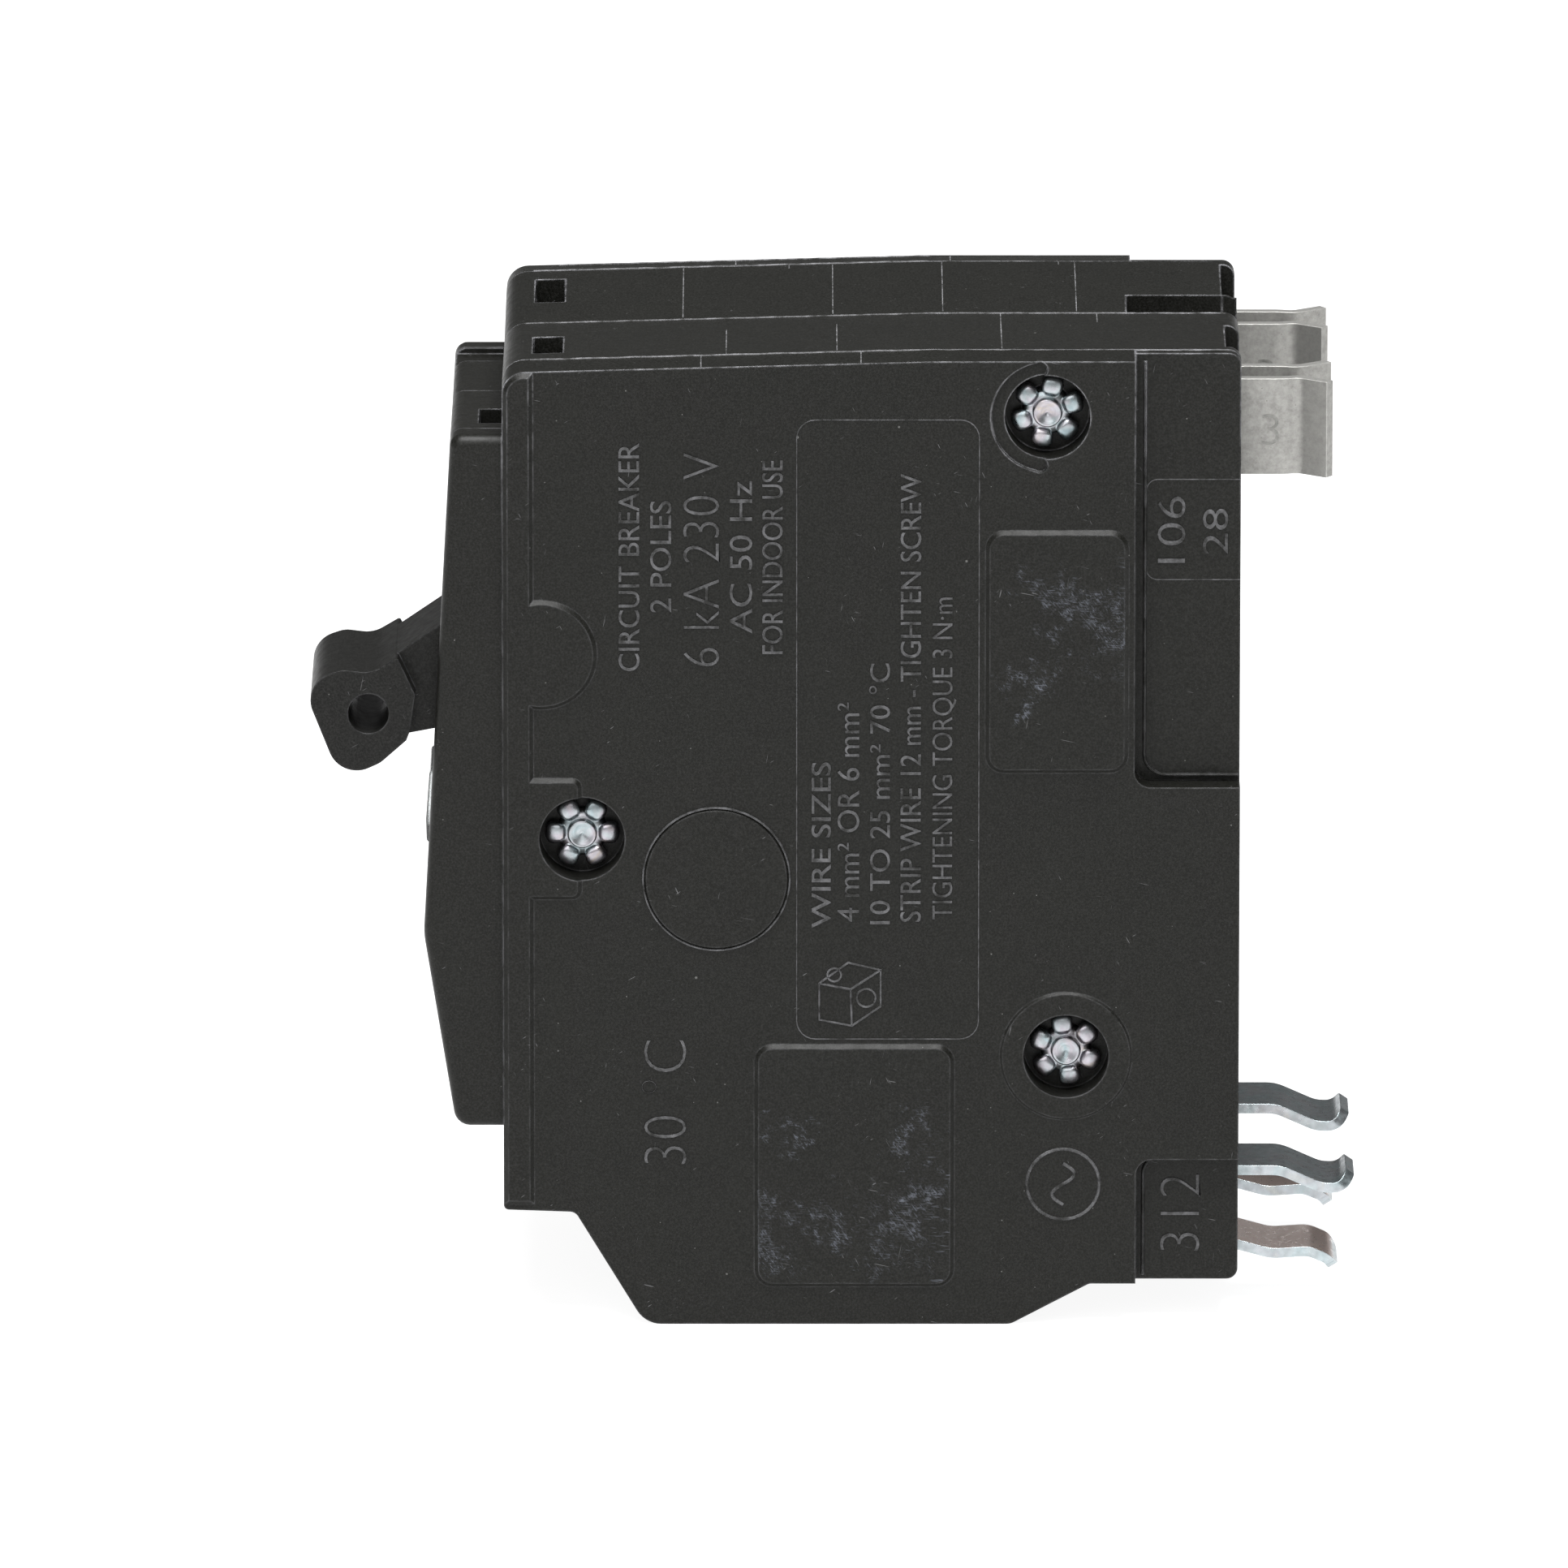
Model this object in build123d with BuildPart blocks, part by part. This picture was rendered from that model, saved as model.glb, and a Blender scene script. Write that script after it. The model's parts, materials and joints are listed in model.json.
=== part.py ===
from build123d import *
import os
from math import cos, radians, sin

# Two-pole plug-on circuit breaker, in millimetres.
# +Z points to the line end, -X to the operating handle and +X to the mounting rail.
# The two poles lie back to back about the plane Y = 0. The right pole, on the -Y side, carries the handle.
# Most pieces are flat layers of a pole, so they are drawn in X and Z and given a near and a far
# distance out from the plane Y = 0.

os.makedirs("parts", exist_ok=True)

RIGHT, LEFT = -1, 1
POLES = {RIGHT: "right", LEFT: "left"}

# Case
FRONT_X, REAR_X = -26.2, 32.5
FRONT_TOP_Z, TOP_Z = 78.5, 79.4
STEP_Z = 9.5
FOOT_Z = 3.35
SEAM = 15.45
FACE = 18.7
PAD_FACE = 19.05
FLOOR = 1.6
COVER_WALL = 17.2
CENTRE_DROP, FACE_DROP = 0.65, 0.25
BAND_Z = 72.0
ESCUTCHEON_TOP_Z, ESCUTCHEON_LOW_Z = 72.95, 16.15
ESCUTCHEON_FACE, ESCUTCHEON_ROUND = 18.2, 0.9
# How far the escutcheon's top edge falls at the centre plane, at the seam and at the outer face
ESCUTCHEON_DROPS = {RIGHT: (0.6, 0, 0), LEFT: (0.6, 0.65, 0.7)}

# Rivets, counterbored into both covers
RIVETS = [(-19.9, 40.1), (17.1, 74.6), (18.7, 22.2)]
RIVET_R, RIVET_HOLE_R = 1.9, 2.0
RIVET_HEAD_R = 2.85
BOSS_R = 4.4
COUNTERBORE_R, COUNTERBORE_SEAT = 3.4, 15.8
GROOVE_INNER_R, GROOVE_OUTER_R = 3.3, 4.5

# Pole mechanism
POLE_MID = 9.4
HANDLE_PIVOT = (-23.15, 55.2)
OFF_ANGLE = 21.5
HANDLE_TRAVEL = 43.0
ARM_TURN = 23.5
LEG = 9.0
BARREL_R, LEFT_BARREL_R = 7.9, 5.8
SHAFT_R, TRUNNION_R = 2.0, 2.4
TRIP_PIVOT = (-9.5, 52.5)
TRIP_BAR_AXIS = (-9.0, 42.0)
FLAG_PIVOT = (-27.2, 36.2)
RUNNING = 0.06

# Terminals
BORE_X, BORE_R = 3.0, 4.3
SCREW_Z, SCREW_R = 13.1, 2.8
JAW_LOW_Z, JAW_HIGH_Z = 68.4, 76.2
JAW_MID = 9.5
WINDOW_Z = (38.2, 44.7)
CLIP_NEAR, CLIP_FAR, CLIP_SHEET, CLIP_TIP_ROUND = 6.1, 12.9, 0.8, 1.3


def turned(point, centre, degrees_up):
    """A point turned about a centre in the X-Z plane, anticlockwise as seen from the right."""
    dx, dz = point[0] - centre[0], point[1] - centre[1]
    c, s = cos(radians(degrees_up)), sin(radians(degrees_up))
    return (centre[0] + dx * c - dz * s, centre[1] + dx * s + dz * c)


ARM_PIVOT = turned((HANDLE_PIVOT[0] + LEG, HANDLE_PIVOT[1]), HANDLE_PIVOT, OFF_ANGLE)
ARM_PIVOT_ON = turned(ARM_PIVOT, HANDLE_PIVOT, -HANDLE_TRAVEL)


def finish(piece, name):
    """Label a finished piece and write its STEP file."""
    piece.part.label = name
    export_step(piece.part, f"parts/{name}.step")


def rounded(*corners):
    """A closed outline through (x, z) corners, where a third number rounds that corner."""
    with BuildSketch() as outline:
        with BuildLine():
            Polyline(*[corner[:2] for corner in corners], close=True)
        make_face()
        for corner in corners:
            if len(corner) == 3:
                place = (corner[0], corner[1], 0)
                fillet(outline.vertices().sort_by_distance(place)[0], corner[2])
    return outline.sketch


def block(x0, x1, z0, z1, radius=0):
    """A rectangle between two X and two Z values, with rounded corners where asked."""
    with BuildSketch() as rectangle:
        with Locations(((x0 + x1) / 2, (z0 + z1) / 2)):
            Rectangle(abs(x1 - x0), abs(z1 - z0))
        if radius:
            fillet(rectangle.vertices(), radius)
    return rectangle.sketch


def disc(centre, radius):
    with BuildSketch() as circle:
        with Locations(centre):
            Circle(radius)
    return circle.sketch


def strip(thickness, bend, *points):
    """The edge-on shape of a metal strip whose middle line bends at the points."""
    with BuildSketch() as edge_on:
        with BuildLine():
            FilletPolyline(*points, radius=bend)
        trace(line_width=thickness)
    return edge_on.sketch


def placed(shape, centre, angle):
    """A sketch drawn about the origin, turned and moved to a centre."""
    with BuildSketch() as moved:
        with Locations(Location((centre[0], centre[1], 0), (0, 0, angle))):
            add(shape)
    return moved.sketch


def slab(side, near, far, shape, mode=Mode.ADD, taper=0):
    """Add or cut a layer of a pole from near to far, with the shape drawn in X and Z."""
    near_y, far_y = side * near, side * far
    start, direction = (near_y, side) if taper else (max(near_y, far_y), -1)
    plane = Plane((0, start, 0), x_dir=(1, 0, 0), z_dir=(0, -1, 0))
    with BuildSketch(plane) as layer:
        add(shape)
    amount = (far - near) * (-direction)
    extrude(layer.sketch, amount=amount, taper=taper, mode=mode)


# ---------------------------------------------------------------- case shells


def case_outline():
    """Side outline of the case below the drafted top band."""
    return rounded(
        (FRONT_X, STEP_Z, 0.4),
        (-20.5, STEP_Z - 0.2, 0.8),
        (-14.9, 0, 2.3),
        (14.3, 0, 1.5),
        (20.6, FOOT_Z, 0.8),
        (REAR_X, FOOT_Z, 0.9),
        (REAR_X, BAND_Z),
        (FRONT_X, BAND_Z),
    )


def top_band(drop):
    """Upper band of the case outline, lowered by the moulding draft."""
    return rounded(
        (FRONT_X, BAND_Z),
        (REAR_X, BAND_Z),
        (REAR_X, TOP_Z - drop, 1.0),
        (8.0, TOP_Z - drop),
        (FRONT_X, FRONT_TOP_Z - drop, 1.8),
    )


def lofted(side, near, far, near_shape, far_shape):
    """Add a layer of a pole whose outline changes from one shape to another."""
    sections = []
    for distance, shape in ((near, near_shape), (far, far_shape)):
        plane = Plane((0, side * distance, 0), x_dir=(1, 0, 0), z_dir=(0, -1, 0))
        with BuildSketch(plane) as section:
            add(shape)
        sections.append(section.sketch.faces()[0])
    loft(sections, ruled=True)


def drafted_body(side, near, far, near_drop, far_drop):
    """A case layer whose top edge slopes from one drop to the other."""
    slab(side, near, far, case_outline())
    lofted(side, near, far, top_band(near_drop), top_band(far_drop))


def escutcheon(drop):
    """Side outline of the raised front that surrounds the handle, lowered by the moulding draft."""
    top_z = ESCUTCHEON_TOP_Z - drop
    return rounded(
        (FRONT_X + 1, top_z),
        (-30.3, top_z, 1.0),
        (-32.55, 32.0, 6.0),
        (-30.0, ESCUTCHEON_LOW_Z, 1.3),
        (FRONT_X + 1, ESCUTCHEON_LOW_Z),
    )


def cavity(upper_rear_x):
    """The hollow for the mechanism, left solid around the rivets and the rail clip."""
    lower_rear_x = 29.5
    shoulder = [] if upper_rear_x == lower_rear_x else [(lower_rear_x, 42.8), (upper_rear_x, 42.8)]
    hollow = rounded(
        (-24.4, 11.4),
        (-19.4, 11.2),
        (-13.9, 1.9),
        (14.0, 1.9),
        (19.8, 5.1),
        (22.3, 5.1),
        (22.3, 14.8),
        (lower_rear_x, 14.8),
        *shoulder,
        (upper_rear_x, 76.6),
        (-24.4, 76.4, 1.0),
        (-24.4, 70.8),
        (-28.6, 70.8, 0.6),
        (-30.6, 32.4),
        (-28.6, 18.2, 0.6),
        (-24.4, 18.2),
    )
    with BuildSketch() as emptied:
        add(hollow)
        for centre in RIVETS:
            with Locations(centre):
                Circle(BOSS_R, mode=Mode.SUBTRACT)
    return emptied.sketch


def pivot_bulge():
    """The part of the disc over the handle pivot that bulges out of the front border."""
    with BuildSketch() as bulge:
        add(disc(HANDLE_PIVOT, 4.5))
        add(block(2 * FRONT_X, FRONT_X + 1, 0, TOP_Z), mode=Mode.SUBTRACT)
    return bulge.sketch


def raised_marks():
    """Pads and rims that stand proud of a cover's main face."""
    border_left, border_right = FRONT_X + 0.05, -23.75
    border_low, border_top = STEP_Z + 0.45, FRONT_TOP_Z - FACE_DROP - 0.05
    border_corners = (
        (border_left, border_top, 1.75),
        (border_right, border_top),
        (border_right, border_low),
        (border_left, border_low),
    )
    return [
        rounded(*border_corners),
        pivot_bulge(),
        block(FRONT_X + 0.3, RIVETS[0][0], 35.1, 45.1, 0.8),
        block(12.2, 23.6, 45.5, 65.4, 1.5),
        block(-6.2, 9.8, 3.1, 23.2, 1.5),
    ]


def low_marks():
    """Discs that stand a little proud of a cover's main face."""
    return [disc((-9.2, 36.8), 5.8), disc(RIVETS[2], 5.3)]


def rivet_groove():
    """Crescent groove on the handle side of the upper rivet."""
    centre = RIVETS[1]
    end_r = (GROOVE_OUTER_R - GROOVE_INNER_R) / 2
    middle_r = GROOVE_INNER_R + end_r
    end_x = centre[0] - end_r
    with BuildSketch() as crescent:
        with Locations(centre):
            Circle(GROOVE_OUTER_R)
            Circle(GROOVE_INNER_R, mode=Mode.SUBTRACT)
        with Locations((end_x + GROOVE_OUTER_R, centre[1])):
            Rectangle(2 * GROOVE_OUTER_R, 3 * GROOVE_OUTER_R, mode=Mode.SUBTRACT)
        with Locations((end_x, centre[1] + middle_r), (end_x, centre[1] - middle_r)):
            Circle(end_r)
    return crescent.sketch


def build_cover(side):
    """Outer shell of a pole: side wall, rim and raised pads."""
    _, seam_drop, face_drop = ESCUTCHEON_DROPS[side]
    with BuildPart() as cover:
        lofted(side, SEAM, ESCUTCHEON_FACE, escutcheon(seam_drop), escutcheon(face_drop))
        outer_face = cover.faces().sort_by(Axis.Y)[0 if side == RIGHT else -1]
        fillet([edge for edge in outer_face.edges() if edge.center().X < FRONT_X], ESCUTCHEON_ROUND)
        drafted_body(side, SEAM, FACE, 0, FACE_DROP)
        for mark in raised_marks():
            slab(side, FACE, PAD_FACE, mark, taper=45)
        for mark in low_marks():
            slab(side, FACE, FACE + 0.2, mark, taper=45)
        slab(side, SEAM, COVER_WALL, cavity(22.6), mode=Mode.SUBTRACT)
        # The upper rear panel belongs to the base, so the cover stops short of it.
        panel = rounded((24.1, 44.3, 1.3), (40, 44.3), (40, 90), (24.1, 90))
        slab(side, SEAM - 1, PAD_FACE + 1, panel, mode=Mode.SUBTRACT)
        foot = rounded((24.3, 0), (40, 0), (40, 13.6), (24.3, 13.6, 1.3))
        slab(side, COVER_WALL, PAD_FACE + 1, foot, mode=Mode.SUBTRACT)
        slab(side, FACE - 0.4, FACE + 1, rivet_groove(), mode=Mode.SUBTRACT)
        for centre in RIVETS:
            slab(side, COUNTERBORE_SEAT, PAD_FACE + 1, disc(centre, COUNTERBORE_R), mode=Mode.SUBTRACT)
            slab(side, SEAM - 1, FACE, disc(centre, RIVET_HOLE_R), mode=Mode.SUBTRACT)
        slab(side, SEAM, 18.0, disc(TRIP_PIVOT, 1.5), mode=Mode.SUBTRACT)
        if side == RIGHT:
            slab(side, SEAM, 18.0, disc(HANDLE_PIVOT, TRUNNION_R + RUNNING), mode=Mode.SUBTRACT)
    finish(cover, f"{POLES[side]}_cover")


def build_base(side):
    """Inner shell of a pole: floor, rim and the openings for every terminal."""
    centre_drop, seam_drop, _ = ESCUTCHEON_DROPS[side]
    with BuildPart() as base:
        drafted_body(side, 0, SEAM, CENTRE_DROP, 0)
        lofted(side, 0, SEAM, escutcheon(centre_drop), escutcheon(seam_drop))
        slab(side, FLOOR, SEAM, cavity(29.5), mode=Mode.SUBTRACT)
        panel_top = TOP_Z - 0.1
        panel = rounded((24.1, 44.3, 1.3), (REAR_X, 44.3), (REAR_X, panel_top, 1.0), (24.1, panel_top))
        slab(side, SEAM, FACE - 2.3, panel)
        if side == LEFT:
            slab(side, 0, 6.4, block(22.2, REAR_X, 43.0, TOP_Z - CENTRE_DROP))
            slab(side, 0, 5.3, block(23.6, 40, 44.3, 90), mode=Mode.SUBTRACT)
            slab(side, 10.5, 15.1, block(-34, FRONT_X, 71.8, 75), mode=Mode.SUBTRACT)
        else:
            reach = BARREL_R + 0.4
            slot = block(-34, -28, HANDLE_PIVOT[1] - reach, HANDLE_PIVOT[1] + reach)
            slab(side, 4.35, 14.75, slot, mode=Mode.SUBTRACT)
            slab(side, 5.5, 13.5, block(-34, -28, *WINDOW_Z), mode=Mode.SUBTRACT)
            slab(side, 7.5, 13.4, block(-28.1, FRONT_X, 69.8, 75), mode=Mode.SUBTRACT)
        # Line jaw exit and the notch above it, rail clip pocket, and the slot in the top end.
        slab(side, 6.5, 12.5, block(29, 40, 67.9, 76.7), mode=Mode.SUBTRACT)
        slab(side, 5.35, 14.45, block(31.3, 40, 67.6, 90), mode=Mode.SUBTRACT)
        slab(side, 5.5, 13.5, block(26.4, 40, 4.3, 12.1), mode=Mode.SUBTRACT)
        slab(side, 6.05, 12.95, block(-23.8, -21.4, 75, 90), mode=Mode.SUBTRACT)
        # Wire entry in the load end and screwdriver access in the front.
        with Locations(Location((BORE_X, side * POLE_MID, 0))):
            Cylinder(BORE_R + 0.3, 8, mode=Mode.SUBTRACT)
        with Locations(Location((FRONT_X, side * POLE_MID, SCREW_Z), (0, 90, 0))):
            Cylinder(3.0, 14, mode=Mode.SUBTRACT)
        for centre in RIVETS:
            slab(side, -1, SEAM + 1, disc(centre, RIVET_HOLE_R), mode=Mode.SUBTRACT)
        slab(side, -1, FLOOR, disc(HANDLE_PIVOT, SHAFT_R + RUNNING), mode=Mode.SUBTRACT)
        slab(side, -1, FLOOR, disc(TRIP_BAR_AXIS, 1.5 + RUNNING), mode=Mode.SUBTRACT)
    finish(base, f"{POLES[side]}_base")


def build_rivets():
    """Three through rivets: a domed head on the left cover and a petalled clinch on the right."""
    petal_angles = [60 * i for i in range(6)]
    with BuildPart() as rivets:
        for centre in RIVETS:
            slab(RIGHT, -COUNTERBORE_SEAT, COUNTERBORE_SEAT, disc(centre, RIVET_R))
            slab(LEFT, COUNTERBORE_SEAT, COUNTERBORE_SEAT + 1.3, disc(centre, RIVET_HEAD_R))
            with BuildSketch() as petals:
                with Locations(centre):
                    Circle(1.7)
                    for angle in petal_angles:
                        with Locations(Location((0, 0, 0), (0, 0, angle))):
                            with Locations((1.95, 0)):
                                Ellipse(0.95, 0.75)
            slab(RIGHT, COUNTERBORE_SEAT, COUNTERBORE_SEAT + 0.9, petals.sketch)
            slab(RIGHT, COUNTERBORE_SEAT, COUNTERBORE_SEAT + 1.5, disc(centre, 1.14))
    finish(rivets, "case_rivets")


# ---------------------------------------------------------------- handle


def handle_head():
    """Side outline of the thumb grip, pointing along -X from the pivot."""
    return rounded(
        (-18.85, 4.3, 2.3),
        (-15.4, 4.1, 2.0),
        (-13.4, 3.0, 2.5),
        (-10.95, 3.4, 0.2),
        (-10.75, 0.1),
        (-12.3, -2.6),
        (-12.8, -3.15),
        (-15.4, -4.1, 2.0),
        (-18.85, -4.3, 2.3),
    )


def handle_neck():
    """Side outline of the narrower neck, widening into the barrel."""
    upper = ((-13.5, 2.9), (-10.6, 3.45), (-6.9, 4.3), (0, 5.0))
    lower = [(x, -z) for x, z in reversed(upper)]
    return rounded(*upper, *lower)


def fork(side):
    """Two cheeks that carry the contact arm's pins, drawn pointing along +X."""
    with BuildSketch() as leg:
        with Locations((LEG / 2, 0)):
            Rectangle(LEG, 4.8)
        with Locations((LEG, 0)):
            Circle(2.4)
    shape = placed(leg.sketch, HANDLE_PIVOT, OFF_ANGLE)
    slab(side, 5.0, 14.0, shape)
    gap = placed(block(5.9, 14, -6, 6), HANDLE_PIVOT, OFF_ANGLE)
    slab(side, 7.9, 10.9, gap, mode=Mode.SUBTRACT)
    slab(side, 4, 15, disc(ARM_PIVOT, 1.2 + RUNNING), mode=Mode.SUBTRACT)


def build_handle():
    with BuildPart() as handle:
        slab(RIGHT, 4.7, 14.4, disc(HANDLE_PIVOT, BARREL_R))
        slab(RIGHT, 4.7, 14.4, placed(handle_neck(), HANDLE_PIVOT, OFF_ANGLE))
        slab(RIGHT, 2.7, 16.3, placed(handle_head(), HANDLE_PIVOT, OFF_ANGLE))
        slab(RIGHT, 14.4, 17.9, disc(HANDLE_PIVOT, TRUNNION_R))
        fork(RIGHT)
        tie = turned((HANDLE_PIVOT[0] - 14.8, HANDLE_PIVOT[1]), HANDLE_PIVOT, OFF_ANGLE)
        slab(RIGHT, 2, 17, disc(tie, 1.62), mode=Mode.SUBTRACT)
        slab(RIGHT, 4, 10, disc(HANDLE_PIVOT, SHAFT_R), mode=Mode.SUBTRACT)
    finish(handle, "operating_handle")


def build_left_hub():
    with BuildPart() as hub:
        slab(LEFT, 4.7, 14.4, disc(HANDLE_PIVOT, LEFT_BARREL_R))
        fork(LEFT)
        slab(LEFT, 4, 10, disc(HANDLE_PIVOT, SHAFT_R), mode=Mode.SUBTRACT)
    finish(hub, "left_handle_hub")


def build_cross_shaft():
    with BuildPart() as shaft:
        slab(RIGHT, -10, 10, disc(HANDLE_PIVOT, SHAFT_R))
    finish(shaft, "handle_cross_shaft")


def build_window():
    """Clear lens in the escutcheon, standing a little proud of it."""
    with BuildPart() as window:
        low_z, high_z = WINDOW_Z
        lens = rounded(
            (-30.2, low_z),
            (-32.35, low_z + 0.3, 0.4),
            (-32.4, low_z + 2.2, 2.0),
            (-32.1, high_z - 0.3, 0.4),
            (-30.2, high_z),
        )
        slab(RIGHT, 5.5, 13.5, lens)
    finish(window, "trip_window")


def build_flag():
    """Trip indicator behind the window, turning on its own small trunnion."""
    with BuildPart() as flag:
        shape = rounded(
            (-29.4, 37.5),
            (-28.4, 35.0),
            (-26.0, 35.0),
            (-26.0, 37.4),
            (-28.4, 38.6),
            (-28.4, 46.0, 0.3),
            (-29.4, 46.0, 0.3),
        )
        slab(RIGHT, 6.0, 13.0, shape)
        slab(RIGHT, FLOOR + 0.3, 15.0, disc(FLAG_PIVOT, 0.8))
    finish(flag, "trip_flag")


def build_trip_bar():
    """Common bar through both poles, with a paddle beside each trip lever."""
    with BuildPart() as bar:
        slab(RIGHT, -14.3, 14.3, disc(TRIP_BAR_AXIS, 1.5))
        x, z = TRIP_BAR_AXIS
        paddle = rounded(
            (x - 2.2, z - 2.2, 1),
            (x + 2.2, z - 2.2, 1),
            (x + 5.4, z + 4.8, 0.6),
            (x + 3.2, z + 6.0, 0.6),
            (x - 2.2, z + 2.2, 1),
        )
        for side in POLES:
            slab(side, 12.9, 14.3, paddle)
    finish(bar, "common_trip_bar")


# ---------------------------------------------------------------- current path


def build_line_jaw(side):
    """Sprung copper jaw that grips the bus stab: a U of sheet with pinched, flared lips."""
    arms = ((39.6, 3.5), (37.2, 1.8), (36.0, 2.175), (25.3, 2.175))
    route = [(x, side * JAW_MID - gap) for x, gap in arms]
    route += [(x, side * JAW_MID + gap) for x, gap in reversed(arms)]
    bends = (1.4, 2.8, 0.7, 0.7, 2.8, 1.4)
    with BuildPart() as jaw:
        with BuildSketch(Plane.XY.offset(JAW_LOW_Z)):
            with BuildLine():
                FilletPolyline(*route, radius=bends)
            trace(line_width=0.85)
        extrude(amount=JAW_HIGH_Z - JAW_LOW_Z)
    finish(jaw, f"{POLES[side]}_line_jaw")


def build_stationary_contact(side):
    with BuildPart() as contact:
        slab(side, 7.6, 11.4, block(10.4, 24.8, 68.75, 69.95))
        slab(side, 7.8, 11.2, block(10.9, 14.9, 67.55, 68.75))
    finish(contact, f"{POLES[side]}_stationary_contact")


def build_contact_arm(side):
    """Blade that carries the moving contact, with pins that turn in the handle's fork."""
    shape = rounded(
        (-15.2, 60.7, 2.0),
        (6.0, 61.8, 3.0),
        (14.3, 61.38),
        (18.3, 59.62),
        (17.2, 57.3, 0.6),
        (12.5, 58.6, 2.0),
        (4.0, 58.6, 2.0),
        (-14.2, 56.3, 2.0),
    )
    with BuildPart() as arm:
        slab(side, 8.2, 10.6, shape)
        slab(side, 8.2, 10.6, disc(ARM_PIVOT, 2.2))
        slab(side, 5.3, 13.7, disc(ARM_PIVOT, 1.2))
        slab(side, 10.6, 13.2, disc((-4.0, 59.6), 0.6))
    finish(arm, f"{POLES[side]}_contact_arm")


def moving_contact_shape():
    """The contact button lies flat against the stationary one once the arm has closed."""
    closed_centre = (12.9, 66.8)
    opened = turned(closed_centre, ARM_PIVOT_ON, -ARM_TURN)
    shift = (ARM_PIVOT[0] - ARM_PIVOT_ON[0], ARM_PIVOT[1] - ARM_PIVOT_ON[1])
    centre = (opened[0] + shift[0], opened[1] + shift[1])
    return placed(block(-2.0, 2.0, -0.6, 0.6), centre, -ARM_TURN)


def build_moving_contact(side):
    with BuildPart() as contact:
        slab(side, 7.7, 11.1, moving_contact_shape())
    finish(contact, f"{POLES[side]}_moving_contact")


def build_braid(side):
    route = ((7.1, 43.0), (7.1, 46.8), (11.4, 48.8), (11.4, 54.4), (8.0, 57.6))
    with BuildPart() as braid:
        slab(side, 8.4, 10.4, strip(1.2, 1.6, *route))
    finish(braid, f"{POLES[side]}_flexible_braid")


def build_bimetal(side):
    with BuildPart() as bimetal:
        slab(side, 6.6, 12.2, block(5.5, 6.5, 27.0, 48.2))
    finish(bimetal, f"{POLES[side]}_bimetal")


def build_load_strap(side):
    route = ((10.15, 5.5), (10.15, 24.0), (7.15, 27.0), (7.15, 30.4))
    with BuildPart() as load_strap:
        slab(side, 6.6, 12.2, strip(1.2, 1.5, *route))
        slab(side, POLE_MID - 1.1, POLE_MID + 1.1, block(6.0, 8.2, 28.0, 30.0), mode=Mode.SUBTRACT)
    finish(load_strap, f"{POLES[side]}_load_strap")


def build_calibration_screw(side):
    with BuildPart() as screw:
        with BuildSketch(Plane((6.7, side * POLE_MID, 29.0), x_dir=(0, 1, 0), z_dir=(1, 0, 0))):
            Circle(1.0)
        extrude(amount=6.3)
        with BuildSketch(Plane((13.0, side * POLE_MID, 29.0), x_dir=(0, 1, 0), z_dir=(1, 0, 0))):
            Circle(1.9)
            Rectangle(0.6, 4, mode=Mode.SUBTRACT)
        extrude(amount=1.4)
        with BuildSketch(Plane((13.0, side * POLE_MID, 29.0), x_dir=(0, 1, 0), z_dir=(1, 0, 0))):
            Circle(1.9)
        extrude(amount=0.7)
    finish(screw, f"{POLES[side]}_calibration_screw")


def build_terminal_lug(side):
    """Box lug with a wire bore along Z and a set-screw hole along X."""
    with BuildPart() as lug:
        slab(side, 3.6, 15.2, block(-6.5, 9.5, 5.0, 20.0, 1.0))
        with Locations(Location((BORE_X, side * POLE_MID, 12.5))):
            Cylinder(BORE_R, 20, mode=Mode.SUBTRACT)
        with Locations(Location((-5.0, side * POLE_MID, SCREW_Z), (0, 90, 0))):
            Cylinder(SCREW_R + RUNNING, 12, mode=Mode.SUBTRACT)
    finish(lug, f"{POLES[side]}_terminal_lug")


def build_lug_screw(side):
    """Slotted set screw, backed off until its tip just clears the wire bore."""
    start = Plane((-12.0, side * POLE_MID, SCREW_Z), x_dir=(0, 1, 0), z_dir=(1, 0, 0))
    with BuildPart() as screw:
        with BuildSketch(start):
            Circle(SCREW_R)
        extrude(amount=10.2)
        chamfer(screw.faces().sort_by(Axis.X)[-1].edges(), 0.5)
        with BuildSketch(start):
            Rectangle(0.9, 8)
        extrude(amount=1.6, mode=Mode.SUBTRACT)
    finish(screw, f"{POLES[side]}_lug_screw")


# ---------------------------------------------------------------- trip unit


def build_magnet_yoke(side):
    """U-shaped magnet frame around the bimetal."""
    with BuildPart() as yoke:
        slab(side, 5.2, 13.6, block(8.4, 9.8, 31.5, 41.5))
        for near in (5.2, 12.6):
            slab(side, near, near + 1.0, block(2.7, 8.4, 31.5, 41.5))
    finish(yoke, f"{POLES[side]}_magnet_yoke")


def build_armature(side):
    """Plate that the magnet pulls in, turning on pins at its foot."""
    with BuildPart() as armature:
        slab(side, 5.2, 13.6, block(0.6, 1.8, 29.0, 50.0))
        slab(side, 3.2, 15.0, disc((1.2, 29.6), 0.6))
    finish(armature, f"{POLES[side]}_armature")


def build_armature_spring(side):
    with BuildPart() as spring:
        slab(side, 8.0, 10.8, strip(0.3, 1.0, (-3.0, 26.0), (-0.1, 29.5), (-0.1, 37.0)))
    finish(spring, f"{POLES[side]}_armature_spring")


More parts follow.
